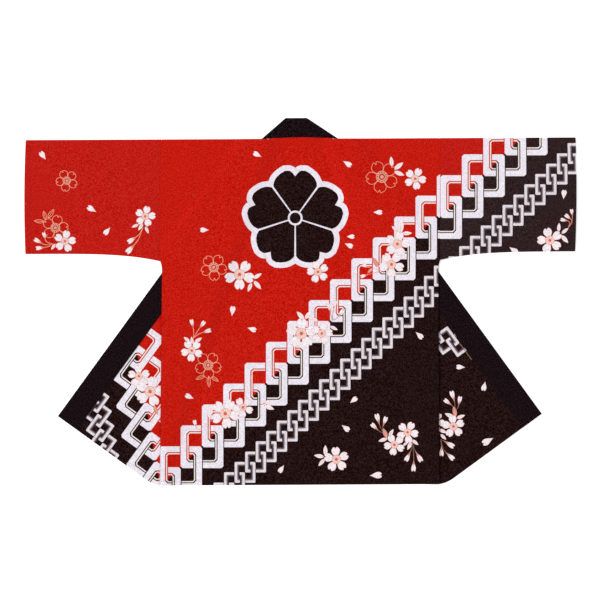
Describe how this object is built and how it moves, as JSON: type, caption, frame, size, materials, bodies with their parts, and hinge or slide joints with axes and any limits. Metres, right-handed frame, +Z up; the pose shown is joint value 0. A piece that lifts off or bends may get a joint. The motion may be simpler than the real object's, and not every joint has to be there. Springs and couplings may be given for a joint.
{
  "type": "happi coat laid flat",
  "caption": "Short straight-sleeved festival coat laid flat with its back up and both fronts folded out as wings.",
  "frame": {"origin": "middle of the coat's outline, on the surface that it lies on", "axes": "+X towards the sleeve on the viewer's right, +Y towards the neck, +Z up, out of the back"},
  "size_m": [1.2758, 0.848, 0.0054],
  "materials": {
    "printed_red": "matt plain-weave cotton, printed red and black with white linked squares and blossoms",
    "printed_black": "matt plain-weave cotton, printed black and red with white linked squares and blossoms",
    "collar_black": "matt plain-weave cotton, plain black, doubled"
  },
  "bodies": {
    "root": {"back": "printed_red", "front_left": "printed_black", "front_right": "printed_black", "sleeve_left": "printed_red", "sleeve_right": "printed_red", "collar": "collar_black"}
  },
  "joints": []
}
